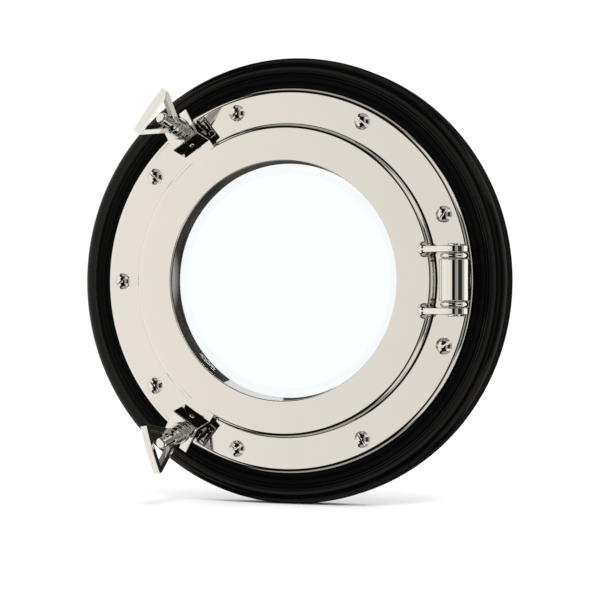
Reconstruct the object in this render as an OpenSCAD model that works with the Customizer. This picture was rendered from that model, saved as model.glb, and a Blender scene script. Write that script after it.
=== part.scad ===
// Round ship's window: a turned backing ring, a cast flange with its spigot,
// and a hinged glazed door held shut by two swing bolts with wing nuts.
// The window's axis is Y: the wall is at Y = 0, the room is towards -Y, Z is up.

/* [Backing ring] */
// Outside diameter of the backing ring
ring_d = 380; // [360:1:440]
// Thickness of the backing ring
ring_t = 26; // [20:1:36]

/* [Flange] */
// Outside diameter of the flange
flange_d = 320; // [304:1:340]
// Thickness of the flange
flange_t = 6; // [5:0.5:8]
// Outside diameter of the spigot
spigot_d = 246; // [242:1:250]
// Wall of the spigot
spigot_wall = 5; // [3:0.5:6]
// How far the spigot stands behind the backing ring
spigot_reach = 15; // [8:1:60]
// Diameter of a flange screw's head
screw_head_d = 14; // [10:0.5:16]
// Diameter of a flange screw's shank
screw_d = 5; // [4:0.5:6]
// Length of a flange screw under its head
screw_len = 28; // [20:1:30]

/* [Door] */
// Outside diameter of the door
door_d = 266; // [256:1:272]
// Sight diameter at the front of the door
sight_d = 202; // [180:1:206]
// How far the door's face stands out from the flange
door_proud = 8; // [6:0.5:12]
// Depth from the door's face down to the glass
glass_depth = 16; // [12:0.5:18]
// Thickness of the glass
glass_t = 5; // [4:0.5:8]
// Width of the glass's bevel
bevel_w = 8; // [4:0.5:14]
// Thickness of the retaining ring
retainer_t = 3; // [2:0.5:4]

/* [Hinge] */
// Distance from the window's axis to the hinge pin
hinge_x = 151.5; // [150:0.5:154]
// Height of the hinge pin above the flange
hinge_h = 13; // [12.5:0.5:16]
// Radius of the hinge barrel
barrel_r = 12.5; // [10:0.5:12.5]
// Length of the hinge barrel
barrel_len = 34; // [24:1:40]
// Thickness of a hinge washer
hinge_washer_t = 5; // [3:0.5:6]
// Thickness of a door arm at the pin
arm_t = 5.5; // [4:0.5:8]
// Diameter of the hinge pin
hinge_pin_d = 8; // [6:0.5:9]

/* [Swing bolts] */
// Angle of each swing bolt round the face, from the hinge
dog_angle = 124; // [118:0.5:128]
// Outward lean of a closed swing bolt
dog_lean = 18; // [14:1:20]
// Width of a clamp lug
lug_w = 27; // [25:0.5:30]
// Length of a clamp lug's seat
lug_len = 27; // [25:0.5:28]
// Height of a clamp lug's seat above the flange, along the bolt
lug_h = 28; // [26:0.5:32]
// Thickness of a clamp lug
lug_t = 5; // [4:0.5:6]
// Diameter of a swing bolt
bolt_d = 10; // [8:0.5:11]
// Diameter of a swing bolt's pivot pin
pivot_d = 6; // [5:0.5:6.5]
// Width across a wing nut's bar
wing_w = 42; // [36:1:50]
// Height of a wing nut's loop above its hub
wing_h = 35; // [28:1:42]

/* [Hidden] */

eps = 0.01;
fine = 180;       // sides drawn on the large turned rings
plain = 48;       // sides drawn on small round features
run_gap = 0.05;   // radial clearance of a pin that turns in its hole
side_gap = 0.3;   // clearance beside a part that swings
seat_gap = 0.4;   // gap between the closed door and the flange
touch_gap = 0.2;  // gap that the door seal leaves above the flange
slip = 2;         // radial clearance of the door's body in the spigot
bed = 1;          // thickness of the rubber round the glass

// heights out from the wall
flange_back = ring_t;
flange_face = ring_t + flange_t;
door_back = flange_face + seat_gap;
door_face = flange_face + door_proud;
glass_face = door_face - glass_depth;
glass_back = glass_face - glass_t;
retainer_face = glass_back - bed;
retainer_back = retainer_face - retainer_t;

// the backing ring's turned mouldings
edge_r = 9;                         // its rounded outer corner
bead_r = 1.6;                       // bead inside that corner, and the groove beside it
bead_in = 3.5;                      // from the rounded corner in to the bead
quirk_r = 1.4;                      // groove round the flange's edge
quirk_out = 4;                      // from the flange's edge out to that groove
quirk_up = 0.5;                     // height of both grooves' centres above the face

// radii
spigot_r = spigot_d / 2;
spigot_step = 1;                    // the spigot is turned down behind the backing ring
bore_r = spigot_r - spigot_wall;
body_r = bore_r - slip;
sight_r = sight_d / 2;
throat_r = sight_r - 1.5;           // sight radius down at the glass
glass_r = throat_r + 7;
rebate_r = glass_r + bed;
screw_circle_r = (flange_d / 2 + door_d / 2) / 2 + 3;
seal_in_r = bore_r + 6;             // the door seal's groove
seal_out_r = seal_in_r + 4;
groove_top = door_back + 2.8;
retain_circle_r = (rebate_r + body_r) / 2;
retain_count = 8;
retain_screw_r = 1.5;
retain_screw_len = 7;

// flange screws stand round the face clear of the hinge and the swing bolts
screw_angles = [21.3, 62.6, 106.7, 142.7, 180, -142.7, -106.7, -62.6, -21.3];

// hinge
hinge_y = flange_face + hinge_h;
hinge_pin_r = hinge_pin_d / 2;
arm_z = barrel_len / 2 + 2 * side_gap + hinge_washer_t;  // inner side of an arm
arm_r = min(barrel_r, hinge_h) - 0.5;
hinge_head_t = 1.5;
bulb_r = 6.5;
bulb_x = door_d / 2 - 8;

// swing bolts, in a section through the bolt: r out from the axis, h from the wall
lug_foot_r = door_d / 2 + 0.5;      // where the lug's inner face meets the flange
bolt_u = lug_len / 2 + 1;           // bolt's place along the lug's seat
pivot_rise = 9;                     // pivot's height above the flange
eye_w = bolt_d + 1;
eye_r = 7;
cheek_t = 5;
cheek_r = 7;
cheek_in = eye_w / 2 + side_gap;
cheek_out = cheek_in + cheek_t;
pivot_r = pivot_d / 2;
pivot_head_r = 5.6;
pivot_head_t = 3.2;
slot_w = bolt_d + 1.5;
washer_t = 2.5;
washer_r = 9.5;
hub_r = 8;
hub_t = 10;
boss_r = 6.8;
nut_h = hub_t + 3;
bar_t = 6.5;                        // thickness of the loop
bar_end = 3;                        // height of the bar's square ends
loop_wall = 4.5;                    // width of the loop's arms
bolt_end = 14;                      // bolt left above the nut's boss
upper_turn = 23;                    // how far the tightened upper nut came round
lower_turn = -46;                   // and the lower one

// a solid of revolution about the window's axis from a profile of radius and height
module turned() rotate([90, 0, 0]) rotate_extrude($fn = fine) children();

// a flat ring section from inner radius, outer radius, low and high
module section(r0, r1, h0, h1) translate([r0, h0]) square([r1 - r0, h1 - h0]);

// a profile's outer top corner rounded to radius q
module round_corner(r, h, q)
    difference() {
        translate([r - q, h - q]) square([q + eps, q + eps]);
        translate([r - q, h - q]) circle(r = q, $fn = plain);
    }

// the outline of a link with a round end at each of two points
module link(a, ra, b, rb) {
    d = norm(b - a);
    turn = atan2(b[1] - a[1], b[0] - a[0]);
    open = acos((ra - rb) / d);
    translate(a) circle(r = ra, $fn = plain);
    translate(b) circle(r = rb, $fn = plain);
    polygon([for (s = [[a, ra, open], [b, rb, open], [b, rb, -open], [a, ra, -open]])
        s[0] + s[1] * [cos(turn + s[2]), sin(turn + s[2])]]);
}

// children drawn along Z are stood out from the wall at a place on the face
module on_face(angle, r, h) rotate([0, -angle, 0]) translate([r, -h, 0]) rotate([90, 0, 0]) children();

// children are drawn with Z along the closed bolt, X outwards along the lug's seat,
// Y across the lug, from the point where the lug's inner face meets the flange
module at_dog(side) rotate([0, -side * dog_angle, 0]) translate([lug_foot_r, -flange_face, 0])
    rotate([90, 0, 0]) rotate([0, dog_lean, 0]) children();

// from the lug's frame to the bolt's pivot, which stands pivot_rise above the flange
pivot_n = (pivot_rise + bolt_u * sin(dog_lean)) / cos(dog_lean);
seat_n = lug_h - pivot_n;           // from the pivot to the lug's seat
module at_pivot(side) at_dog(side) translate([bolt_u, 0, pivot_n]) children();

/* ---- backing ring ---- */

module wood_ring() {
    r = ring_d / 2;
    inner = spigot_r + 1;
    color([0.02, 0.02, 0.02]) difference() {
        turned() difference() {
            union() {
                section(inner, r - edge_r, 0, ring_t);
                section(inner, r, 0, ring_t - edge_r);
                translate([r - edge_r, ring_t - edge_r]) circle(r = edge_r, $fn = plain);
                translate([r - edge_r - bead_in, ring_t]) circle(r = bead_r, $fn = plain);
            }
            translate([r - edge_r - bead_in - 2 * bead_r, ring_t + quirk_up]) circle(r = bead_r, $fn = plain);
            translate([flange_d / 2 + quirk_out, ring_t + quirk_up]) circle(r = quirk_r, $fn = plain);
        }
        for (a = screw_angles) on_face(a, screw_circle_r, ring_t + flange_t - screw_len - 1)
            cylinder(r = screw_d / 2, h = screw_len + 2, $fn = plain);
    }
}

/* ---- flange ---- */

module hinge_block() {
    foot_w = 2 * barrel_r - 4;
    translate([hinge_x, -hinge_y, -barrel_len / 2]) difference() {
        union() {
            cylinder(r = barrel_r, h = barrel_len, $fn = plain);
            translate([-foot_w / 2, 0, 0]) cube([foot_w, hinge_h + 2, barrel_len]);
        }
        translate([0, 0, -1]) cylinder(r = hinge_pin_r + run_gap, h = barrel_len + 2, $fn = plain);
    }
}

module dog_cheeks(side) {
    // the drop reaches the flange whichever way the bolt leans
    drop = pivot_rise + 2;
    at_pivot(side) rotate([0, -dog_lean, 0]) difference() {
        for (y = [-cheek_out, cheek_in]) translate([0, y, 0]) {
            rotate([-90, 0, 0]) cylinder(r = cheek_r, h = cheek_t, $fn = plain);
            translate([-cheek_r, 0, -drop]) cube([2 * cheek_r, cheek_t, drop]);
        }
        translate([0, cheek_out + 1, 0]) rotate([90, 0, 0])
            cylinder(r = pivot_r + run_gap, h = 2 * cheek_out + 2, $fn = plain);
    }
}

module flange() {
    r = flange_d / 2;
    edge = min(5, flange_t - 1);
    color([0.88, 0.86, 0.82]) union() {
        difference() {
            turned() difference() {
                union() {
                    section(bore_r, r, flange_back, flange_face);
                    section(bore_r, spigot_r, 0, flange_face);
                    section(bore_r, spigot_r - spigot_step, -spigot_reach, eps);
                }
                round_corner(r, flange_face, edge);
            }
            for (a = screw_angles) on_face(a, screw_circle_r, flange_back - 1)
                cylinder(r = screw_d / 2 + 0.25, h = flange_t + 2, $fn = plain);
        }
        hinge_block();
        for (side = [1, -1]) dog_cheeks(side);
    }
}

// one wood screw with a slotted domed head, its seat at height 0
module dome_screw(head_r, shank_r, len, slot_turn) {
    dome_h = head_r * 0.55;
    ball_r = (head_r * head_r + dome_h * dome_h) / (2 * dome_h);
    difference() {
        union() {
            rotate_extrude($fn = plain) intersection() {
                translate([0, dome_h - ball_r]) circle(r = ball_r, $fn = fine);
                square([head_r, dome_h]);
            }
            translate([0, 0, -len + shank_r * 2]) cylinder(r = shank_r, h = len - shank_r * 2 + eps, $fn = plain);
            translate([0, 0, -len]) cylinder(r1 = 0.4, r2 = shank_r, h = shank_r * 2, $fn = plain);
        }
        rotate([0, 0, slot_turn]) translate([-head_r - 1, -head_r * 0.1, dome_h * 0.45])
            cube([2 * head_r + 2, head_r * 0.2, dome_h]);
    }
}

module flange_screws() {
    color([0.9, 0.88, 0.84]) for (i = [0 : len(screw_angles) - 1])
        on_face(screw_angles[i], screw_circle_r, flange_face)
            dome_screw(screw_head_d / 2, screw_d / 2, screw_len, 35 + 47 * i);
}

/* ---- door ---- */

module door_arm(z) {
    translate([0, 0, z]) difference() {
        linear_extrude(arm_t) link([hinge_x, -hinge_y], arm_r, [bulb_x, -door_face], bulb_r - 1);
        translate([hinge_x, -hinge_y, -1]) cylinder(r = hinge_pin_r + run_gap, h = arm_t + 2, $fn = plain);
    }
    translate([bulb_x, -door_face, z + arm_t / 2]) sphere(r = bulb_r, $fn = plain);
}

module clamp_lug(side) {
    at_dog(side) difference() {
        union() {
            translate([0, -lug_w / 2, 0]) cube([lug_t, lug_w, lug_h]);
            translate([0, -lug_w / 2, lug_h - lug_t]) cube([lug_len, lug_w, lug_t]);
        }
        translate([bolt_u, 0, lug_h - lug_t - 1]) cylinder(r = slot_w / 2, h = lug_t + 2, $fn = plain);
        translate([bolt_u, -slot_w / 2, lug_h - lug_t - 1]) cube([lug_len, slot_w, lug_t + 2]);
    }
}

// the foot that ties each lug into the door's rim, outside the seal's groove
module lug_foot(side) rotate([0, -side * dog_angle, 0])
    translate([seal_out_r + 0.5, -door_back - 4, -lug_w / 2])
        cube([lug_foot_r + 3.5 - seal_out_r, 4, lug_w]);

module door_frame() {
    r = door_d / 2;
    edge = min(4.5, door_proud - 1.5);
    // everything of the door outside the spigot stays clear of the flange
    color([0.87, 0.85, 0.81]) union() {
        difference() {
            union() {
                turned() difference() {
                    union() {
                        section(throat_r, r, door_back, door_face);
                        section(throat_r, body_r, retainer_face, door_face);
                    }
                    section(0, rebate_r, retainer_face - 1, glass_face);
                    polygon([[throat_r - 1, glass_face + 2], [throat_r, glass_face + 2],
                             [sight_r, door_face - 1], [sight_r + 1, door_face + eps],
                             [throat_r - 1, door_face + eps]]);
                    round_corner(r, door_face, edge);
                    section(seal_in_r, seal_out_r, door_back - 1, groove_top);
                }
                for (side = [1, -1]) lug_foot(side);
            }
            for (i = [0 : retain_count - 1])
                on_face((i + 0.5) * 360 / retain_count, retain_circle_r, retainer_back - 1)
                    cylinder(r = retain_screw_r, h = retain_screw_len + 2, $fn = plain);
        }
        for (z = [arm_z, -arm_z - arm_t]) door_arm(z);
        intersection() {
            union() for (side = [1, -1]) clamp_lug(side);
            rotate([90, 0, 0]) translate([0, 0, door_back]) cylinder(r = ring_d, h = 100, $fn = fine);
        }
    }
}

module door_seal() {
    color([0.08, 0.08, 0.08]) turned()
        section(seal_in_r, seal_out_r, flange_face + touch_gap, groove_top);
}

module glass() {
    bevel_t = 1.6;
    color([0.9, 0.95, 0.97, 0.5]) turned() polygon([[0, glass_back], [glass_r, glass_back],
        [glass_r, glass_face - bevel_t * 0.2], [throat_r, glass_face - bevel_t],
        [throat_r - bevel_w, glass_face], [0, glass_face]]);
}

module glass_gasket() {
    color([0.06, 0.06, 0.06]) turned() union() {
        section(glass_r, rebate_r, retainer_face, glass_face);
        section(throat_r + 2, rebate_r, retainer_face, glass_back);
    }
}

module retaining_ring() {
    color([0.8, 0.78, 0.74]) difference() {
        turned() section(throat_r + 2, body_r - 1, retainer_back, retainer_face);
        for (i = [0 : retain_count - 1])
            on_face((i + 0.5) * 360 / retain_count, retain_circle_r, retainer_back - 1)
                cylinder(r = retain_screw_r + 0.2, h = retainer_t + 2, $fn = plain);
    }
}

module retaining_screws() {
    color([0.85, 0.83, 0.78]) for (i = [0 : retain_count - 1])
        rotate([0, -(i + 0.5) * 360 / retain_count, 0]) translate([retain_circle_r, -retainer_back, 0])
            rotate([-90, 0, 0]) dome_screw(2.8, retain_screw_r, retain_screw_len, 20 + 31 * i);
}

/* ---- hinge ---- */

module hinge_pin() {
    top = arm_z + arm_t + touch_gap;
    color([0.9, 0.88, 0.84]) translate([hinge_x, -hinge_y, 0]) union() {
        translate([0, 0, -top]) cylinder(r = hinge_pin_r, h = 2 * top, $fn = plain);
        for (s = [1, -1]) mirror([0, 0, s < 0 ? 1 : 0]) translate([0, 0, top])
            cylinder(r = hinge_pin_r + 1.5, h = hinge_head_t, $fn = plain);
    }
}

module hinge_washers() {
    color([0.9, 0.88, 0.84]) for (s = [1, -1]) mirror([0, 0, s < 0 ? 1 : 0])
        translate([hinge_x, -hinge_y, barrel_len / 2 + side_gap]) difference() {
            rotate_extrude($fn = plain) union() {
                square([9, hinge_washer_t]);
                translate([9, hinge_washer_t / 2]) circle(r = hinge_washer_t / 2, $fn = plain);
            }
            translate([0, 0, -1]) cylinder(r = hinge_pin_r + run_gap, h = hinge_washer_t + 2, $fn = plain);
        }
}

/* ---- swing bolts ---- */

module swing_bolt(side) {
    top = seat_n + washer_t + nut_h + bolt_end;
    color([0.9, 0.88, 0.84]) at_pivot(side) difference() {
        union() {
            rotate([90, 0, 0]) translate([0, 0, -eye_w / 2]) cylinder(r = eye_r, h = eye_w, $fn = plain);
            cylinder(r = bolt_d / 2, h = top - 2, $fn = plain);
            translate([0, 0, top - 2 - eps]) cylinder(r1 = bolt_d / 2, r2 = bolt_d / 2 - 2, h = 2, $fn = plain);
        }
        rotate([90, 0, 0]) translate([0, 0, -eye_w]) cylinder(r = pivot_r + run_gap, h = 2 * eye_w, $fn = plain);
    }
}

module dog_pin(side) {
    tail = 3.4;
    color([0.9, 0.88, 0.84]) at_pivot(side) mirror([0, side > 0 ? 0 : 1, 0]) union() {
        translate([0, cheek_out + tail, 0]) rotate([90, 0, 0])
            cylinder(r = pivot_r, h = 2 * cheek_out + tail + touch_gap, $fn = plain);
        translate([0, -cheek_out - touch_gap, 0]) rotate([90, 0, 0])
            cylinder(r = pivot_head_r, h = pivot_head_t, $fn = 6);
    }
}

module dog_pin_nut(side) {
    color([0.9, 0.88, 0.84]) at_pivot(side) mirror([0, side > 0 ? 0 : 1, 0])
        translate([0, cheek_out + touch_gap, 0]) rotate([-90, 0, 0]) difference() {
            cylinder(r = pivot_head_r, h = pivot_head_t, $fn = 6);
            translate([0, 0, -1]) cylinder(r = pivot_r, h = pivot_head_t + 2, $fn = plain);
        }
}

module dog_washer(side) {
    color([0.9, 0.88, 0.84]) at_pivot(side) translate([0, 0, seat_n]) difference() {
        cylinder(r = washer_r, h = washer_t, $fn = plain);
        translate([0, 0, -1]) cylinder(r = bolt_d / 2 + run_gap, h = washer_t + 2, $fn = plain);
    }
}

// the wing nut's loop, drawn flat: two arms that spread from the hub to a bar
module wing_outline(hub_half)
    polygon([[-hub_half, 0], [hub_half, 0], [wing_w / 2, wing_h - bar_end], [wing_w / 2, wing_h],
             [-wing_w / 2, wing_h], [-wing_w / 2, wing_h - bar_end]]);

module wing_nut(side) {
    hole_low = boss_r - loop_wall;
    hole_high = wing_w / 2 - loop_wall - 2;
    spun = side > 0 ? upper_turn : lower_turn;
    color([0.9, 0.88, 0.84]) at_pivot(side) translate([0, 0, seat_n + washer_t]) rotate([0, 0, spun]) difference() {
        union() {
            cylinder(r = hub_r, h = hub_t, $fn = plain);
            cylinder(r = boss_r, h = nut_h, $fn = plain);
            translate([0, 0, hub_t - 1]) rotate([90, 0, 90]) translate([0, 0, -bar_t / 2])
                linear_extrude(bar_t) difference() {
                    wing_outline(boss_r);
                    polygon([[-hole_low, 5], [hole_low, 5],
                             [hole_high, wing_h - loop_wall], [-hole_high, wing_h - loop_wall]]);
                }
        }
        translate([0, 0, -1]) cylinder(r = bolt_d / 2 + run_gap, h = nut_h + bolt_end + 1, $fn = plain);
    }
}

wood_ring();
flange();
flange_screws();
door_frame();
door_seal();
glass();
glass_gasket();
retaining_ring();
retaining_screws();
hinge_pin();
hinge_washers();
swing_bolt(1);  // swing_bolt_upper
dog_pin(1);  // dog_pin_upper
dog_pin_nut(1);  // dog_pin_nut_upper
dog_washer(1);  // dog_washer_upper
wing_nut(1);  // wing_nut_upper
swing_bolt(-1);  // swing_bolt_lower
dog_pin(-1);  // dog_pin_lower
dog_pin_nut(-1);  // dog_pin_nut_lower
dog_washer(-1);  // dog_washer_lower
wing_nut(-1);  // wing_nut_lower
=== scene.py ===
import math
import bpy
from mathutils import Matrix, Vector


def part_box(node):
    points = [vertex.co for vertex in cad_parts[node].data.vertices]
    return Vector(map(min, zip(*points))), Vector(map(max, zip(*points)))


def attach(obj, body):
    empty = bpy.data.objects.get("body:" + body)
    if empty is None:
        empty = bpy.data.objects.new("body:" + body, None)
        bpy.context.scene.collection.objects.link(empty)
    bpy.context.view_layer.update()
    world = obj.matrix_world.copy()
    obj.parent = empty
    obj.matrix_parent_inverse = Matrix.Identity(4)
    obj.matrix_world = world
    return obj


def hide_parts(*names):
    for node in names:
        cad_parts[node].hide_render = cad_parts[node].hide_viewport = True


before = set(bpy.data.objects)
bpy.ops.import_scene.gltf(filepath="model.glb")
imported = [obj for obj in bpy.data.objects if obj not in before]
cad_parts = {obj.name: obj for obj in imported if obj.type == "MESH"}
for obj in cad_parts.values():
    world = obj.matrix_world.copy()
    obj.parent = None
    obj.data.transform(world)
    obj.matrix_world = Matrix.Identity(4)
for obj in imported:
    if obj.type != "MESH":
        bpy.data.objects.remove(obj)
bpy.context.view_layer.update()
mm = 0.001
print("frame loaded:", len(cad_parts), "nodes")

sides = {"upper": 1, "lower": -1}
ringLow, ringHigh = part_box("wood_ring")
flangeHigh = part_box("flange")[1]

# camera and stage

cameraSet = {"yaw": 19.1, "distance": 1.6, "aside": 0.0133, "below": 0.0163, "faceOut": 0.032,
             "lens": 113.4, "sensor": 36}
floorSet = {"size": 80.0, "tone": (0.95, 0.95, 0.95)}
lightSet = {"keyPower": 34.0, "keySize": 1.1, "keyPlace": (0.9, -1.3, 1.9),
            "fillPower": 16.0, "fillSize": 2.4, "fillPlace": (-0.9, 1.4, 1.7)}


def addCamera():
    yaw = math.radians(cameraSet["yaw"])
    back = Vector((math.sin(yaw), -math.cos(yaw), 0))
    right = Vector((math.cos(yaw), math.sin(yaw), 0))
    spot = Vector((0, -cameraSet["faceOut"], 0)) + cameraSet["distance"] * back
    spot += cameraSet["aside"] * right - Vector((0, 0, cameraSet["below"]))
    bpy.ops.object.camera_add(location=spot, rotation=(math.pi / 2, 0, yaw))
    camera = bpy.context.object
    camera.data.lens = cameraSet["lens"]
    camera.data.sensor_width = cameraSet["sensor"]
    bpy.context.scene.camera = camera


def addLight(name, power, size, place, target):
    bpy.ops.object.light_add(type="AREA", location=place)
    lamp = bpy.context.object
    lamp.name = name
    lamp.data.energy = power
    lamp.data.size = size
    lamp.rotation_euler = (Vector(target) - Vector(place)).to_track_quat("-Z", "Y").to_euler()
    lamp.visible_glossy = False  # the metal's reflections come from the studio round it


# shader tools

class Wire:
    # one socket of a node tree, with sums that add Math nodes
    def __init__(self, board, socket):
        self.board = board
        self.socket = socket

    def sum(self, operation, *others):
        wires = dict(enumerate((self,) + others))
        return self.board.node("ShaderNodeMath", {"operation": operation}, wires)

    def __add__(self, other):
        return self.sum("ADD", other)

    def __radd__(self, other):
        return self.sum("ADD", other)

    def __sub__(self, other):
        return self.sum("SUBTRACT", other)

    def __rsub__(self, other):
        return self.board.node("ShaderNodeMath", {"operation": "SUBTRACT"}, {0: other, 1: self})

    def __mul__(self, other):
        return self.sum("MULTIPLY", other)

    def __rmul__(self, other):
        return self.sum("MULTIPLY", other)

    def __truediv__(self, other):
        return self.sum("DIVIDE", other)

    def __pow__(self, other):
        return self.sum("POWER", other)


class Board:
    # a node tree, and the one way a node is added to it
    def __init__(self, tree):
        self.tree = tree
        tree.nodes.clear()

    def node(self, kind, settings=None, inputs=None, out=0):
        made = self.tree.nodes.new(kind)
        for key, value in (settings or {}).items():
            if key == "stops":
                self.setStops(made.color_ramp, value)
            else:
                setattr(made, key, value)
        for key, value in (inputs or {}).items():
            if isinstance(value, Wire):
                self.tree.links.new(value.socket, made.inputs[key])
            else:
                made.inputs[key].default_value = value
        if not made.outputs:
            return made
        return Wire(self, made.outputs[out])

    def setStops(self, ramp, stops):
        while len(ramp.elements) > 1:
            ramp.elements.remove(ramp.elements[-1])
        for i, (place, tone) in enumerate(stops):
            stop = ramp.elements[0] if i == 0 else ramp.elements.new(place)
            stop.position = place
            stop.color = (tone, tone, tone, 1) if isinstance(tone, (int, float)) else tuple(tone) + (1,)

    def place(self, scale=(1, 1, 1), turn=(0, 0, 0)):
        here = self.node("ShaderNodeTexCoord", out="Object")
        return self.node("ShaderNodeMapping", None, {"Vector": here, "Scale": scale, "Rotation": turn})

    def split(self, vector):
        parts = self.node("ShaderNodeSeparateXYZ", None, {0: vector}).socket.node
        return [Wire(self, socket) for socket in parts.outputs]

    def noise(self, where, scale, detail=3.0, rough=0.5):
        return self.node("ShaderNodeTexNoise", None,
                         {"Vector": where, "Scale": scale, "Detail": detail, "Roughness": rough})

    def blendTone(self, factor, one, two):
        made = self.tree.nodes.new("ShaderNodeMix")
        made.data_type = "RGBA"
        self.tree.links.new(factor.socket, made.inputs[0])
        for place, tone in ((6, one), (7, two)):
            if isinstance(tone, Wire):
                self.tree.links.new(tone.socket, made.inputs[place])
            else:
                made.inputs[place].default_value = tuple(tone) + (1,)
        return Wire(self, made.outputs[2])


def newMaterial(name, build):
    made = bpy.data.materials.new(name)
    made.use_nodes = True
    board = Board(made.node_tree)
    shader = build(board)
    board.node("ShaderNodeOutputMaterial", None, {"Surface": shader})
    return made


# the studio that the metal reflects, by azimuth in degrees: 0 is straight in front and the hinge's side is
# positive. front is a low band beside the camera, side the taller panels, high a panel above the hinge's
# side, top what is overhead.
studioSet = {"front": ((-180, 0.0), (-40, 0.0), (-38, 0.97), (-26, 0.97), (-19, 0.9), (-12, 0.85),
                       (-4, 0.83), (-1, 0.0), (18, 0.0), (21, 0.36), (41, 0.42), (44, 0.0), (180, 0.0)),
             "side": ((-180, 0.03), (-150, 0.03), (-142, 0.10), (-120, 0.6), (-112, 0.95), (-62, 1.0),
                      (-40, 0.97), (-37, 0.0), (18, 0.0), (24, 0.36), (41, 0.42), (44, 0.02), (73, 0.02),
                      (76, 0.35), (94, 0.5), (97, 1.15), (134, 1.15), (139, 0.03), (180, 0.03)),
             "brightest": 1.15, "tint": (1.0, 0.957, 0.89), "frontHalf": 0.2, "sideHalf": 0.66,
             "soft": 0.06,
             "high": ((-180, 0.0), (30, 0.0), (36, 0.85), (88, 0.85), (94, 0.0), (180, 0.0)),
             "highFrom": 0.4, "highTo": 0.8,
             "topFrom": 0.84, "top": 0.42, "ambient": 0.004, "open": 1.06}


def addStudio():
    world = bpy.data.worlds.new("studio")
    bpy.context.scene.world = world
    world.use_nodes = True
    board = Board(world.node_tree)
    way = board.node("ShaderNodeTexCoord", out="Generated")
    x, y, z = board.split(way)
    turn = x.sum("ARCTAN2", y * -1) / (2 * math.pi) + 0.5
    up = z.sum("ABSOLUTE")
    soft = studioSet["soft"]

    def band(name):
        stops = [((a + 180) / 360, tone / studioSet["brightest"]) for a, tone in studioSet[name]]
        return board.node("ShaderNodeValToRGB", {"stops": stops}, {0: turn}) * studioSet["brightest"]

    def rise(start, low, high):
        return board.node("ShaderNodeMapRange", {"interpolation_type": "SMOOTHSTEP"},
                          {0: up, 1: start, 2: start + soft, 3: low, 4: high})

    light = band("front") * rise(studioSet["frontHalf"], 1.0, 0.0)
    light = light.sum("MAXIMUM", band("side") * rise(studioSet["sideHalf"], 1.0, 0.0))
    upper = rise(studioSet["highFrom"], 0.0, 1.0) * rise(studioSet["highTo"], 1.0, 0.0)
    light = light.sum("MAXIMUM", band("high") * upper)
    light = light + rise(studioSet["topFrom"], 0.0, studioSet["top"]) + studioSet["ambient"]
    mirror = board.node("ShaderNodeBackground", None,
                        {"Color": studioSet["tint"] + (1,), "Strength": light})
    plain = board.node("ShaderNodeBackground", None, {"Color": (1, 1, 1, 1), "Strength": studioSet["open"]})
    bounced = board.node("ShaderNodeLightPath", out="Glossy Depth").sum("GREATER_THAN", 0.5)
    both = board.node("ShaderNodeMixShader", None, {0: bounced, 1: plain, 2: mirror})
    board.node("ShaderNodeOutputWorld", None, {"Surface": both})


# finishes

nickelSet = {"tone": (0.80, 0.785, 0.765), "pale": (0.83, 0.815, 0.795), "smooth": 0.028, "dull": 0.075,
             "wave": 0.02, "scratch": 0.008, "cloudSize": 24.0, "smudgeSize": 85.0, "bump": 0.03}
lacquerSet = {"tone": (0.0008, 0.0008, 0.0009), "pale": (0.002, 0.002, 0.0019), "smooth": 0.11, "dull": 0.2,
              "sheen": 0.03, "polishFrom": 0.1735, "polishWide": 0.0015, "polish": 0.3,
              "cloudSize": 14.0, "ringSize": 900, "bump": 0.03, "coatDull": 0.06}
paneSet = {"tone": (0.91, 0.945, 0.955), "bend": 1.48, "smearSize": 9.0, "smear": 0.02}
rubberSet = {"tone": (0.012, 0.012, 0.013), "pale": (0.035, 0.034, 0.033), "dull": 0.62,
             "grainSize": 700.0, "cloudSize": 40.0, "bump": 0.15}


def nickelShader(board):
    where = board.place()
    cloud = board.noise(where, nickelSet["cloudSize"], 2.0)
    smudge = board.noise(where, nickelSet["smudgeSize"], 4.0, 0.6)
    hairs = board.noise(board.place((60, 60, 900), (0.3, 0.2, 0.5)), 3.0, 2.0)
    tone = board.blendTone(cloud, nickelSet["tone"], nickelSet["pale"])
    dull = smudge * cloud * (nickelSet["dull"] - nickelSet["smooth"]) + nickelSet["smooth"]
    height = cloud * nickelSet["wave"] + hairs * nickelSet["scratch"]
    bump = board.node("ShaderNodeBump", None,
                      {"Height": height, "Strength": nickelSet["bump"], "Distance": 0.001})
    return board.node("ShaderNodeBsdfPrincipled", None,
                      {"Base Color": tone, "Metallic": 1.0, "Roughness": dull, "Normal": bump})


def lacquerShader(board):
    where = board.place()
    cloud = board.noise(where, lacquerSet["cloudSize"], 4.0, 0.6)
    x, y, z = board.split(where)
    radius = (x * x + z * z) ** 0.5
    rings = board.node("ShaderNodeTexNoise", {"noise_dimensions": "1D"},
                       {"W": radius * lacquerSet["ringSize"], "Detail": 2.0})  # fine marks of the turning
    tone = board.blendTone(cloud, lacquerSet["tone"], lacquerSet["pale"])
    dull = cloud * (lacquerSet["dull"] - lacquerSet["smooth"]) + lacquerSet["smooth"]
    bump = board.node("ShaderNodeBump", None,
                      {"Height": rings * 0.3 + cloud * 0.2, "Strength": lacquerSet["bump"],
                       "Distance": 0.0005})
    polish = ((radius - lacquerSet["polishFrom"]) / lacquerSet["polishWide"]).sum("MINIMUM", 1.0)
    polish = polish.sum("MAXIMUM", 0.03) * lacquerSet["polish"]
    return board.node("ShaderNodeBsdfPrincipled", None,
                      {"Base Color": tone, "Roughness": dull, "Normal": bump,
                       "Specular IOR Level": lacquerSet["sheen"], "Coat Weight": polish,
                       "Coat Roughness": lacquerSet["coatDull"]})


def paneShader(board):
    where = board.place()
    dull = board.noise(where, paneSet["smearSize"], 3.0) * paneSet["smear"]
    return board.node("ShaderNodeBsdfPrincipled", None,
                      {"Base Color": paneSet["tone"] + (1,), "Roughness": dull, "IOR": paneSet["bend"],
                       "Transmission Weight": 1.0})


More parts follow.
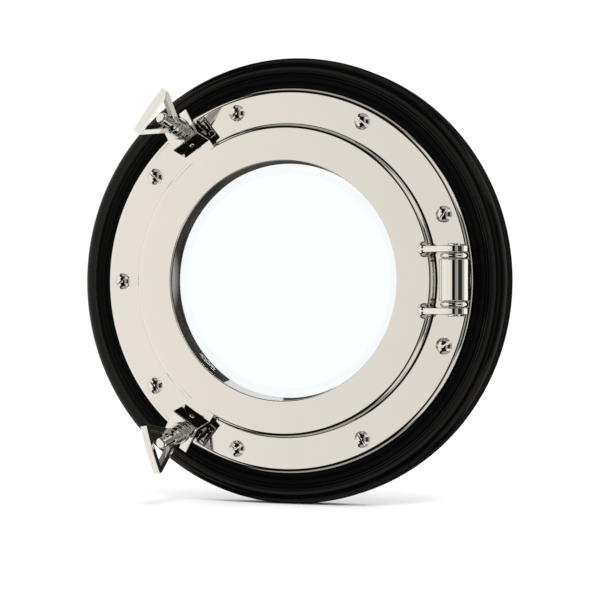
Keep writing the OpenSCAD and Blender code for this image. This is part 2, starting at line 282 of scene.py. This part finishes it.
def rubberShader(board):
    where = board.place()
    grain = board.noise(where, rubberSet["grainSize"], 3.0)
    cloud = board.noise(where, rubberSet["cloudSize"], 3.0)
    tone = board.blendTone(cloud, rubberSet["tone"], rubberSet["pale"])
    bump = board.node("ShaderNodeBump", None,
                      {"Height": grain, "Strength": rubberSet["bump"], "Distance": 0.0004})
    return board.node("ShaderNodeBsdfPrincipled", None,
                      {"Base Color": tone, "Roughness": cloud * 0.15 + rubberSet["dull"], "Normal": bump})


def floorShader(board):
    cloud = board.noise(board.place(), 2.0, 2.0)
    tone = board.blendTone(cloud, floorSet["tone"], [t + 0.02 for t in floorSet["tone"]])
    return board.node("ShaderNodeBsdfPrincipled", None,
                      {"Base Color": tone, "Roughness": 0.9, "Specular IOR Level": 0.0})


addCamera()
addStudio()
addLight("keyLight", lightSet["keyPower"], lightSet["keySize"], lightSet["keyPlace"], (0, 0, 0))
addLight("fillLight", lightSet["fillPower"], lightSet["fillSize"], lightSet["fillPlace"], (0, 0, -0.2))
bpy.context.scene.view_settings.view_transform = "Standard"
nickel = newMaterial("polishedNickel", nickelShader)
lacquer = newMaterial("blackLacquer", lacquerShader)
paneGlass = newMaterial("paneGlass", paneShader)
rubber = newMaterial("sealRubber", rubberShader)
floorPaint = newMaterial("floorPaint", floorShader)
print("stage and finishes made")

# modelling tools


def clear():
    if bpy.context.object and bpy.context.object.mode != "OBJECT":
        bpy.ops.object.mode_set(mode="OBJECT")
    bpy.ops.object.select_all(action="DESELECT")


def pick(piece):
    clear()
    piece.select_set(True)
    bpy.context.view_layer.objects.active = piece


def edit(piece):
    pick(piece)
    bpy.ops.object.mode_set(mode="EDIT")
    bpy.ops.mesh.select_all(action="SELECT")


def done():
    bpy.ops.object.mode_set(mode="OBJECT")


def arc(cx, cy, r, start, end, steps=8):
    # points of an arc, the angles in degrees from the first axis
    turn = [math.radians(start + (end - start) * i / steps) for i in range(steps + 1)]
    return [(cx + r * math.cos(t), cy + r * math.sin(t)) for t in turn]


def draw(name, points, closed=True):
    # a line of edges through points given in mm, drawn by extruding one vertex
    clear()
    first = Vector(points[0]) * mm
    bpy.ops.mesh.primitive_plane_add(size=mm, location=first)
    piece = bpy.context.object
    piece.name = name
    piece.data.name = name
    bpy.ops.object.transform_apply(location=True, rotation=True, scale=True)
    bpy.ops.object.mode_set(mode="EDIT")
    bpy.ops.mesh.select_all(action="SELECT")
    bpy.ops.mesh.merge(type="CENTER")
    last = first
    for point in points[1:]:
        here = Vector(point) * mm
        bpy.ops.mesh.extrude_vertices_move(TRANSFORM_OT_translate={"value": here - last})
        last = here
    if closed:
        bpy.ops.mesh.extrude_vertices_move(TRANSFORM_OT_translate={"value": first - last})
    bpy.ops.mesh.select_all(action="SELECT")
    bpy.ops.mesh.remove_doubles(threshold=0.00001)
    return piece


def clean(piece):
    edit(piece)
    bpy.ops.mesh.remove_doubles(threshold=0.000004)
    bpy.ops.mesh.normals_make_consistent(inside=False)
    done()


def spin(name, profile, steps, axis=(0, 1, 0), closed=True):
    # profile is (radius, place along the axis) in mm; along Y it is the height out from the wall
    if axis[1]:
        points = [(r, -h, 0) for r, h in profile]
    else:
        points = [(r, 0, h) for r, h in profile]
    piece = draw(name, points, closed)
    bpy.ops.mesh.spin(steps=steps, angle=2 * math.pi, center=(0, 0, 0), axis=axis)
    done()
    clean(piece)
    return piece


def block(name, low, high):
    # a box from its low and high corners in mm
    clear()
    low = Vector(low) * mm
    high = Vector(high) * mm
    bpy.ops.mesh.primitive_cube_add(size=1, location=(low + high) / 2, scale=high - low)
    piece = bpy.context.object
    piece.name = name
    bpy.ops.object.transform_apply(location=True, rotation=True, scale=True)
    return piece


def finish(piece, kind, **settings):
    # adds a modifier and applies it
    pick(piece)
    tool = piece.modifiers.new(kind.lower(), kind)
    for key, value in settings.items():
        setattr(tool, key, value)
    bpy.ops.object.modifier_apply(modifier=tool.name)
    return piece


def combine(piece, other, operation):
    finish(piece, "BOOLEAN", operation=operation, object=other, solver="EXACT")
    bpy.data.objects.remove(other)
    return piece


def soften(piece, width, segments=3, angle=30):
    # rounds the sharp edges by a width in mm
    return finish(piece, "BEVEL", width=width * mm, segments=segments, limit_method="ANGLE",
                  angle_limit=math.radians(angle), harden_normals=False)


def smooth(piece, angle=32):
    pick(piece)
    bpy.ops.object.shade_smooth_by_angle(angle=math.radians(angle))


def place(piece, matrix):
    pick(piece)
    piece.matrix_world = matrix @ piece.matrix_world
    bpy.ops.object.transform_apply(location=True, rotation=True, scale=True)
    return piece


def copyOf(piece, name):
    other = piece.copy()
    other.data = piece.data.copy()
    other.name = name
    other.data.name = name
    bpy.context.scene.collection.objects.link(other)
    return other


def joinAll(name, pieces):
    clear()
    for piece in pieces:
        piece.select_set(True)
    bpy.context.view_layer.objects.active = pieces[0]
    if len(pieces) > 1:
        bpy.ops.object.join()
    made = bpy.context.object
    made.name = name
    made.data.name = name
    return made


def settle(piece, body, slot, coat, *nodes):
    # flat faces stay flat beside rounded edges
    finish(piece, "WEIGHTED_NORMAL", keep_sharp=True, weight=80)
    piece.data.materials.clear()
    piece.data.materials.append(coat)
    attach(piece, body)
    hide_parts(*nodes)
    print("made", piece.name, len(piece.data.polygons), "faces")


def onFace(angle, r, h):
    # from a frame drawn along Z to a place on the face, r out from the axis and h from the wall
    return (Matrix.Rotation(math.radians(-angle), 4, "Y") @ Matrix.Translation((r * mm, -h * mm, 0))
            @ Matrix.Rotation(math.pi / 2, 4, "X"))


# backing ring

ringSet = {"inner": 124.0, "edge": 9.0, "bead": 1.6, "beadIn": 3.5, "quirk": 1.4, "quirkOut": 4.0,
           "quirkUp": 0.5, "steps": 240}


def makeRing():
    r = ringHigh.x / mm
    face = flangeFace - flangeSet["thick"]
    edge = ringSet["edge"]
    bead = ringSet["bead"]
    beadAt = r - edge - ringSet["beadIn"]
    grooveAt = beadAt - 2 * bead
    quirkAt = flangeHigh.x / mm + ringSet["quirkOut"]
    up = ringSet["quirkUp"]
    dip = math.degrees(math.asin(up / ringSet["quirk"]))
    low = math.degrees(math.asin(up / bead))
    profile = [(ringSet["inner"], 0), (ringSet["inner"], face)]
    profile += arc(quirkAt, face + up, ringSet["quirk"], 180 + dip, 360 - dip, 8)
    profile += arc(grooveAt, face + up, bead, 180 + low, 360 - low, 10)
    profile += arc(beadAt, face, bead, 176, 0, 12)
    profile += arc(r - edge, face - edge, edge, 90, 0, 16)
    profile += [(r, 1.2), (r - 1.2, 0)]
    ring = spin("backingRing", profile, ringSet["steps"])
    smooth(ring, 28)
    settle(ring, "frame", "ring_lacquer", lacquer, "wood_ring")


# flange with its spigot, hinge block and pivot cheeks

flangeSet = {"thick": 6.0, "bore": 118.0, "spigot": 123.0, "turnedDown": 122.0, "edge": 5.0, "steps": 240}
hingeSet = {"x": 151.5, "h": 45.0, "barrel": 12.5, "half": 17.0, "foot": 10.5, "pin": 4.0, "headR": 5.5,
            "headT": 1.5, "armIn": 22.6, "armT": 5.5, "armR": 12.0, "washerR": 11.5, "washerT": 5.0,
            "washerAt": 17.3, "bulbX": 125.0, "bulbR": 6.5}
dogSet = {"angle": 124.0, "lean": 18.0, "footR": 133.5, "boltU": 14.5, "rise": 9.0, "cheekIn": 5.8,
          "cheekT": 5.0, "cheekR": 7.0, "pin": 3.0}
flangeFace = 32.0
doorFace = 40.0


def toDog(side):
    # a clamp's frame: X outwards along the seat, Y across, Z along the closed bolt
    turn = Matrix.Rotation(math.radians(-side * dogSet["angle"]), 4, "Y")
    move = Matrix.Translation((dogSet["footR"] * mm, -flangeFace * mm, 0))
    lean = Matrix.Rotation(math.radians(dogSet["lean"]), 4, "Y")
    return turn @ move @ Matrix.Rotation(math.pi / 2, 4, "X") @ lean


leanAngle = math.radians(dogSet["lean"])
pivotN = (dogSet["rise"] + dogSet["boltU"] * math.sin(leanAngle)) / math.cos(leanAngle)


def toPivot(side):
    return toDog(side) @ Matrix.Translation((dogSet["boltU"] * mm, 0, pivotN * mm))


def makeHingeBlock():
    x = hingeSet["x"]
    h = hingeSet["h"]
    r = hingeSet["barrel"]
    drop = math.degrees(math.acos(hingeSet["foot"] / r))
    outline = arc(x, h, r, -drop, 180 + drop, 40)
    outline += [(x - hingeSet["foot"], flangeFace - 0.6), (x + hingeSet["foot"], flangeFace - 0.6)]
    piece = draw("hingeBlock", [(a, -b, -hingeSet["half"]) for a, b in outline])
    bpy.ops.mesh.edge_face_add()
    bpy.ops.mesh.extrude_region_move(TRANSFORM_OT_translate={"value": (0, 0, 2 * hingeSet["half"] * mm)})
    done()
    clean(piece)
    soften(piece, 0.9, 3, 50)
    return piece


def makeCheeks(side):
    made = []
    low = -dogSet["rise"] - 0.6
    for across in (-1, 1):
        outline = arc(0, 0, dogSet["cheekR"], 0, 180, 24)
        outline += [(-dogSet["cheekR"], low), (dogSet["cheekR"], low)]
        piece = draw("cheek", [(a, 0, b) for a, b in outline])
        bpy.ops.mesh.edge_face_add()
        bpy.ops.mesh.extrude_region_move(TRANSFORM_OT_translate={"value": (0, dogSet["cheekT"] * mm, 0)})
        bpy.ops.mesh.select_all(action="SELECT")
        shift = dogSet["cheekIn"] if across > 0 else -dogSet["cheekIn"] - dogSet["cheekT"]
        bpy.ops.transform.translate(value=(0, shift * mm, 0))
        done()
        clean(piece)
        soften(piece, 0.7, 3, 50)
        upright = Matrix.Rotation(-leanAngle, 4, "Y")
        made.append(place(piece, toPivot(side) @ upright))
    return made


def makeFlange():
    r = flangeHigh.x / mm
    back = flangeFace - flangeSet["thick"]
    reach = flangeHigh.y / mm
    edge = flangeSet["edge"]
    profile = [(flangeSet["bore"], -reach + 0.6), (flangeSet["bore"], flangeFace - 0.6),
               (flangeSet["bore"] + 0.6, flangeFace)]
    profile += arc(r - edge, flangeFace - edge, edge, 90, 0, 14)
    spigot = flangeSet["spigot"]
    end = flangeSet["turnedDown"]
    profile += [(r, back), (spigot, back), (spigot, 0), (end, 0), (end, -reach + 0.6),
                (end - 0.6, -reach), (flangeSet["bore"] + 0.6, -reach)]
    plate = spin("flange", profile, flangeSet["steps"])
    pieces = [plate, makeHingeBlock()]
    for side in sides.values():
        pieces += makeCheeks(side)
    made = joinAll("flangeCasting", pieces)
    smooth(made, 28)
    settle(made, "frame", "plated_metal", nickel, "flange")


makeRing()
makeFlange()

# flange screws, one domed head modelled and the rest copied

screwSet = {"head": 7.0, "dome": 3.85, "slot": 1.4, "slotFloor": 1.75, "shank": 2.5, "length": 28.0,
            "steps": 48, "circle": 149.5,
            "angles": (21.3, 62.6, 106.7, 142.7, 180, -142.7, -106.7, -62.6, -21.3),
            "firstTurn": 35, "nextTurn": 47}


def slottedScrew(name, head, dome, slot, slotFloor, shank, length, steps):
    ball = (head * head + dome * dome) / (2 * dome)
    low = math.degrees(math.acos(head / ball))
    profile = [(0, -length), (shank, -length + 2 * shank), (shank, 0), (head - 0.25, 0), (head, 0.12)]
    profile += arc(0, dome - ball, ball, low + 2, 90, 16)
    piece = spin(name, profile, steps, (0, 0, 1), closed=False)
    cutter = block("slotCutter", (-head - 1, -slot / 2, slotFloor), (head + 1, slot / 2, dome + 2))
    combine(piece, cutter, "DIFFERENCE")
    soften(piece, 0.14, 2, 40)
    smooth(piece, 30)
    return piece


def makeFlangeScrews():
    b = screwSet
    first = slottedScrew("screw", b["head"], b["dome"], b["slot"], b["slotFloor"], b["shank"],
                         b["length"], b["steps"])
    pieces = []
    for i, angle in enumerate(screwSet["angles"]):
        piece = copyOf(first, "screw")
        turn = Matrix.Rotation(math.radians(screwSet["firstTurn"] + screwSet["nextTurn"] * i), 4, "Z")
        pieces.append(place(piece, onFace(angle, screwSet["circle"], flangeFace) @ turn))
    bpy.data.objects.remove(first)
    made = joinAll("flangeScrews", pieces)
    settle(made, "frame", "plated_metal", nickel, "flange_screws")


makeFlangeScrews()

# door: ring, hinge arms and clamp lugs

doorSet = {"outer": 133.0, "edge": 4.5, "back": 32.4, "sight": 101.0, "throat": 99.5, "body": 116.0,
           "bodyBack": 18.0, "rebate": 107.5, "glassFace": 24.0, "sealIn": 124.0, "sealOut": 128.0,
           "sealTop": 35.2, "steps": 240}
lugSet = {"wide": 27.0, "long": 27.0, "high": 28.0, "thick": 5.0, "slot": 11.5, "footIn": 128.5,
          "footOut": 137.0, "markAt": 17.0}


def makeLug(side):
    half = lugSet["wide"] / 2
    high = lugSet["high"]
    thick = lugSet["thick"]
    long = lugSet["long"]
    outline = [(0, -3), (thick, -3), (thick, high - thick - 1.2)]
    outline += arc(thick + 1.2, high - thick - 1.2, 1.2, 180, 90, 4)
    outline += [(long, high - thick), (long, high), (0, high)]
    piece = draw("lug", [(a, -half, b) for a, b in outline])
    bpy.ops.mesh.edge_face_add()
    bpy.ops.mesh.extrude_region_move(TRANSFORM_OT_translate={"value": (0, 2 * half * mm, 0)})
    done()
    clean(piece)
    slotHalf = lugSet["slot"] / 2
    slotLine = arc(dogSet["boltU"], 0, slotHalf, 90, 270, 20)
    slotLine += [(long + 3, -slotHalf), (long + 3, slotHalf)]
    cutter = draw("slotCutter", [(a, b, high - thick - 3) for a, b in slotLine])
    bpy.ops.mesh.edge_face_add()
    bpy.ops.mesh.extrude_region_move(TRANSFORM_OT_translate={"value": (0, 0, (thick + 6) * mm)})
    done()
    clean(cutter)
    combine(piece, cutter, "DIFFERENCE")
    soften(piece, 0.8, 3, 50)
    place(piece, toDog(side))
    edit(piece)
    bpy.ops.mesh.bisect(plane_co=(0, -doorSet["back"] * mm, 0), plane_no=(0, -1, 0), use_fill=True,
                        clear_inner=True, clear_outer=False)
    done()
    clean(piece)
    foot = block("lugFoot", (lugSet["footIn"], -doorFace, -half),
                 (lugSet["footOut"], -doorSet["back"], half))
    soften(foot, 0.3, 2, 50)
    place(foot, Matrix.Rotation(math.radians(-side * dogSet["angle"]), 4, "Y"))
    rim = [(0, 0.2), (1.3, 0.2), (1.3, 0.6), (1.9, 0.6), (2.2, 0), (2.2, -0.5), (0, -0.5)]
    mark = spin("mark", rim, 32, (0, 0, 1), closed=False)  # the small raised ring on the lug's inner wall
    inward = Matrix.Rotation(-math.pi / 2, 4, "Y")
    place(mark, toDog(side) @ Matrix.Translation((0, 0, lugSet["markAt"] * mm)) @ inward)
    return joinAll("lug", [piece, foot, mark])


def makeArm(z):
    # a link from the pin's eye to the bulb on the door's face
    x = hingeSet["x"]
    h = hingeSet["h"]
    bulbX = hingeSet["bulbX"]
    big = hingeSet["armR"]
    small = hingeSet["bulbR"] - 1
    gap = math.hypot(bulbX - x, doorFace - h)
    turn = math.degrees(math.atan2(doorFace - h, bulbX - x))
    opened = math.degrees(math.acos((big - small) / gap))
    outline = arc(x, h, big, turn + opened, turn + 360 - opened, 32)
    outline += arc(bulbX, doorFace, small, turn - opened, turn + opened, 16)
    low = z - hingeSet["armT"] / 2
    piece = draw("arm", [(a, -b, low) for a, b in outline])
    bpy.ops.mesh.edge_face_add()
    bpy.ops.mesh.extrude_region_move(TRANSFORM_OT_translate={"value": (0, 0, hingeSet["armT"] * mm)})
    done()
    clean(piece)
    soften(piece, 0.9, 3, 50)
    clear()
    bpy.ops.mesh.primitive_uv_sphere_add(segments=40, ring_count=20, radius=hingeSet["bulbR"] * mm,
                                         location=(bulbX * mm, -doorFace * mm, z * mm))
    bulb = bpy.context.object
    bpy.ops.object.transform_apply(location=True, rotation=True, scale=True)
    edit(bulb)
    bpy.ops.mesh.bisect(plane_co=(0, -(doorFace - 1) * mm, 0), plane_no=(0, -1, 0), use_fill=True,
                        clear_inner=True)
    done()
    return joinAll("arm", [piece, bulb])


def makeDoor():
    edge = doorSet["edge"]
    outer = doorSet["outer"]
    profile = [(doorSet["throat"], doorSet["glassFace"]), (doorSet["throat"], doorSet["glassFace"] + 2)]
    profile += [(doorSet["sight"], doorFace - 1)]
    profile += arc(doorSet["sight"] + 1, doorFace - 1, 1, 180, 90, 6)
    profile += arc(outer - edge, doorFace - edge, edge, 90, 0, 14)
    profile += [(outer, doorSet["back"]), (doorSet["sealOut"], doorSet["back"]),
                (doorSet["sealOut"], doorSet["sealTop"]), (doorSet["sealIn"], doorSet["sealTop"]),
                (doorSet["sealIn"], doorSet["back"]), (doorSet["body"], doorSet["back"]),
                (doorSet["body"], doorSet["bodyBack"]), (doorSet["rebate"], doorSet["bodyBack"]),
                (doorSet["rebate"], doorSet["glassFace"])]
    pieces = [spin("doorRing", profile, doorSet["steps"])]
    middle = hingeSet["armIn"] + hingeSet["armT"] / 2
    pieces += [makeArm(middle), makeArm(-middle)]
    pieces += [makeLug(side) for side in sides.values()]
    made = joinAll("doorCasting", pieces)
    smooth(made, 28)
    settle(made, "door", "plated_metal", nickel, "door_frame")


makeDoor()

# glass with its wide bevel

bevelSet = {"flat": 91.5, "throat": 99.5, "edge": 106.5, "deep": 1.6, "back": 19.0,
            "face": 24.0, "steps": 240}


def makeGlass():
    b = bevelSet
    profile = [(0, b["back"]), (b["edge"] - 0.4, b["back"]), (b["edge"], b["back"] + 0.4),
               (b["edge"], b["face"] - b["deep"]), (b["throat"], b["face"] - b["deep"]),
               (b["flat"], b["face"]), (0, b["face"])]
    made = spin("pane", profile, b["steps"], closed=False)
    smooth(made, 3)
    settle(made, "door", "pane", paneGlass, "glass")


makeGlass()

# hinge pin and its two collars


def makeHingePin():
    top = hingeSet["armIn"] + hingeSet["armT"] + 0.2
    headR = hingeSet["headR"]
    headT = hingeSet["headT"]
    profile = [(0, -top - headT)] + arc(headR - 0.7, -top - headT + 0.7, 0.7, 270, 360, 5)
    profile += [(headR, -top), (hingeSet["pin"], -top), (hingeSet["pin"], top), (headR, top)]
    profile += arc(headR - 0.7, top + headT - 0.7, 0.7, 0, 90, 5) + [(0, top + headT)]
    pin = spin("hingePin", profile, 48, (0, 0, 1), closed=False)
    place(pin, Matrix.Translation((hingeSet["x"] * mm, -hingeSet["h"] * mm, 0)))
    smooth(pin, 30)
    settle(pin, "frame", "plated_metal", nickel, "hinge_pin")


def makeCollars():
    t = hingeSet["washerT"]
    r = hingeSet["washerR"] - t / 2
    profile = [(hingeSet["pin"] + 0.05, 0)] + arc(r, t / 2, t / 2, 270, 450, 16)
    profile += [(hingeSet["pin"] + 0.05, t)]
    first = spin("collar", profile, 64, (0, 0, 1))
    second = copyOf(first, "collar")
    spot = (hingeSet["x"] * mm, -hingeSet["h"] * mm)
    place(first, Matrix.Translation(spot + (hingeSet["washerAt"] * mm,)))
    place(second, Matrix.Translation(spot + (-(hingeSet["washerAt"] + t) * mm,)))
    made = joinAll("hingeCollars", [first, second])
    smooth(made, 35)
    settle(made, "frame", "plated_metal", nickel, "hinge_washers")


makeHingePin()
makeCollars()

# swing bolts, pivot pins, washers and wing nuts

boltSet = {"r": 5.0, "eyeR": 7.0, "eyeW": 11.0, "tipRound": 1.8, "washerT": 2.5,
           "washerR": 9.5, "overBoss": 14.0}
nutSet = {"hub": 8.0, "hubT": 10.0, "boss": 6.8, "height": 13.0, "wide": 42.0, "loop": 35.0, "bar": 4.5,
          "wall": 4.5, "thick": 6.5, "arch": 1.2, "lowRing": 3.8, "neck": 1.3, "round": 0.6,
          "turn": {"upper": 23, "lower": -46}}
pinSet = {"headR": 5.6, "headT": 3.2, "tail": 3.4, "slack": 0.2}
seatN = lugSet["high"] - pivotN


def makeBolt(where, side):
    top = seatN + boltSet["washerT"] + nutSet["height"] + boltSet["overBoss"]
    r = boltSet["r"]
    tip = boltSet["tipRound"]
    profile = [(0, 2), (r, 2)] + arc(r - tip, top - tip, tip, 0, 90, 8) + [(0, top)]
    shank = spin("shank", profile, 48, (0, 0, 1), closed=False)
    w = boltSet["eyeW"] / 2
    e = boltSet["eyeR"]
    pin = dogSet["pin"] + 0.05
    profile = [(pin, -w)] + arc(e - 1, -w + 1, 1, 270, 360, 4) + arc(e - 1, w - 1, 1, 0, 90, 4) + [(pin, w)]
    eye = spin("eye", profile, 48, (0, 0, 1))
    place(eye, Matrix.Rotation(math.pi / 2, 4, "X"))
    made = joinAll("swingBolt_" + where, [shank, eye])
    place(made, toPivot(side))
    smooth(made, 35)
    settle(made, "bolt_" + where, "plated_metal", nickel, "swing_bolt_" + where)


def hexHead(name, turn):
    clear()
    r = pinSet["headR"] * mm
    t = pinSet["headT"] * mm
    bpy.ops.mesh.primitive_cylinder_add(vertices=6, radius=r, depth=t, location=(0, 0, t / 2))
    piece = bpy.context.object
    piece.name = name
    bpy.ops.object.transform_apply(location=True, rotation=True, scale=True)
    place(piece, Matrix.Rotation(math.radians(turn), 4, "Z"))
    # the corners are turned off at the top by a dome
    limit = pinSet["headR"] * 0.93
    t = pinSet["headT"]
    ballCut = [(0, -1), (pinSet["headR"] + 1, -1), (pinSet["headR"] + 1, t - 1.5), (limit, t - 0.35),
               (limit - 0.6, t), (0, t)]
    cone = spin("cone", ballCut, 48, (0, 0, 1), closed=False)
    combine(piece, cone, "INTERSECT")
    soften(piece, 0.18, 2, 25)
    return piece


def makePivotPin(where, side):
    out = dogSet["cheekIn"] + dogSet["cheekT"]
    flip = Matrix.Identity(4) if side > 0 else Matrix.Diagonal((1, -1, 1, 1))
    lie = Matrix.Rotation(math.pi / 2, 4, "X")  # local Z becomes -Y
    length = 2 * out + pinSet["tail"] + pinSet["slack"]
    r = dogSet["pin"]
    profile = [(0, 0), (r - 0.5, 0), (r, 0.5), (r, length), (0, length)]
    rod = spin("rod", profile, 40, (0, 0, 1), closed=False)
    place(rod, Matrix.Translation((0, (out + pinSet["tail"]) * mm, 0)) @ lie)
    head = hexHead("head", 0)
    place(head, Matrix.Translation((0, -(out + pinSet["slack"]) * mm, 0)) @ lie)
    made = joinAll("pivotPin_" + where, [rod, head])
    place(made, toPivot(side) @ flip)
    clean(made)
    smooth(made, 30)
    settle(made, "frame", "plated_metal", nickel, "dog_pin_" + where)
    nut = hexHead("nut", 0)
    bore = spin("bore", [(0, -1), (r, -1), (r, pinSet["headT"] + 1), (0, pinSet["headT"] + 1)], 40,
                (0, 0, 1), closed=False)
    combine(nut, bore, "DIFFERENCE")
    stand = Matrix.Rotation(-math.pi / 2, 4, "X")
    place(nut, Matrix.Translation((0, (out + pinSet["slack"]) * mm, 0)) @ stand)
    place(nut, toPivot(side) @ flip)
    nut.name = "pivotNut_" + where
    clean(nut)
    smooth(nut, 30)
    settle(nut, "frame", "plated_metal", nickel, "dog_pin_nut_" + where)


def makeWasher(where, side):
    r = boltSet["washerR"]
    t = boltSet["washerT"]
    q = 0.7
    profile = [(boltSet["r"] + 0.05, 0)] + arc(r - q, q, q, 270, 360, 5) + arc(r - q, t - q, q, 0, 90, 5)
    profile += [(boltSet["r"] + 0.05, t)]
    made = spin("clampWasher_" + where, profile, 56, (0, 0, 1))
    place(made, toPivot(side) @ Matrix.Translation((0, 0, seatN * mm)))
    smooth(made, 35)
    settle(made, "washer_" + where, "plated_metal", nickel, "dog_washer_" + where)


def makeLoop():
    # the flat triangular loop: its outline is filled, inset for the hole, then thickened
    half = nutSet["wide"] / 2
    foot = nutSet["hubT"] - 1
    top = foot + nutSet["loop"]
    shoulder = top - nutSet["bar"]
    base = nutSet["boss"]
    crown = [(half - half * 2 * i / 10, top - nutSet["arch"] * (2 * i / 10 - 1) ** 2) for i in range(11)]
    outline = [(-base, foot), (base, foot), (half, shoulder)] + crown + [(-half, shoulder)]
    piece = draw("loop", [(0, a, b) for a, b in outline])
    bpy.ops.mesh.edge_face_add()
    bpy.ops.mesh.inset(thickness=nutSet["wall"] * mm, depth=0)
    bpy.ops.mesh.delete(type="FACE")
    done()
    finish(piece, "SOLIDIFY", thickness=nutSet["thick"] * mm, offset=0)
    clean(piece)
    soften(piece, 0.9, 3, 40)
    return piece


def makeWingNut(where, side):
    bore = boltSet["r"] + 0.05
    hub = nutSet["hub"]
    boss = nutSet["boss"]
    q = nutSet["round"]
    low = nutSet["lowRing"]
    neck = hub - nutSet["neck"]
    rim = hub - 0.9
    high = nutSet["hubT"]
    top = nutSet["height"]
    # a low ring, a neck, a second ring and the boss
    profile = [(bore, 0)] + arc(hub - q, q, q, 270, 360, 4) + arc(hub - q, low - q, q, 0, 90, 4)
    profile += [(neck, low), (neck, low + 1)] + arc(rim, low + 1 + q, q, 270, 360, 4)
    profile += arc(rim, high - q, q, 0, 90, 4)
    profile += [(boss, high), (boss, top - q), (boss - q, top), (bore, top)]
    hubPiece = spin("hub", profile, 64, (0, 0, 1))
    made = joinAll("wingNut_" + where, [hubPiece, makeLoop()])
    lift = Matrix.Translation((0, 0, (seatN + boltSet["washerT"]) * mm))
    place(made, toPivot(side) @ lift @ Matrix.Rotation(math.radians(nutSet["turn"][where]), 4, "Z"))
    smooth(made, 30)
    settle(made, "nut_" + where, "plated_metal", nickel, "wing_nut_" + where)


for where, side in sides.items():
    makeBolt(where, side)
    makePivotPin(where, side)
    makeWasher(where, side)
    makeWingNut(where, side)

# the hidden pieces keep their shape and get a finish
kept = {"door_seal": rubber, "glass_gasket": rubber, "retaining_ring": nickel, "retaining_screws": nickel}
for node, coat in kept.items():
    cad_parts[node].data.materials.clear()
    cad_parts[node].data.materials.append(coat)

# floor
clear()
bpy.ops.mesh.primitive_plane_add(size=floorSet["size"], location=(0, 0, ringLow.z))
floor = bpy.context.object
floor.name = "floor"
floor.data.materials.append(floorPaint)
floor.visible_glossy = False
floor.visible_transmission = False
print("floor laid")
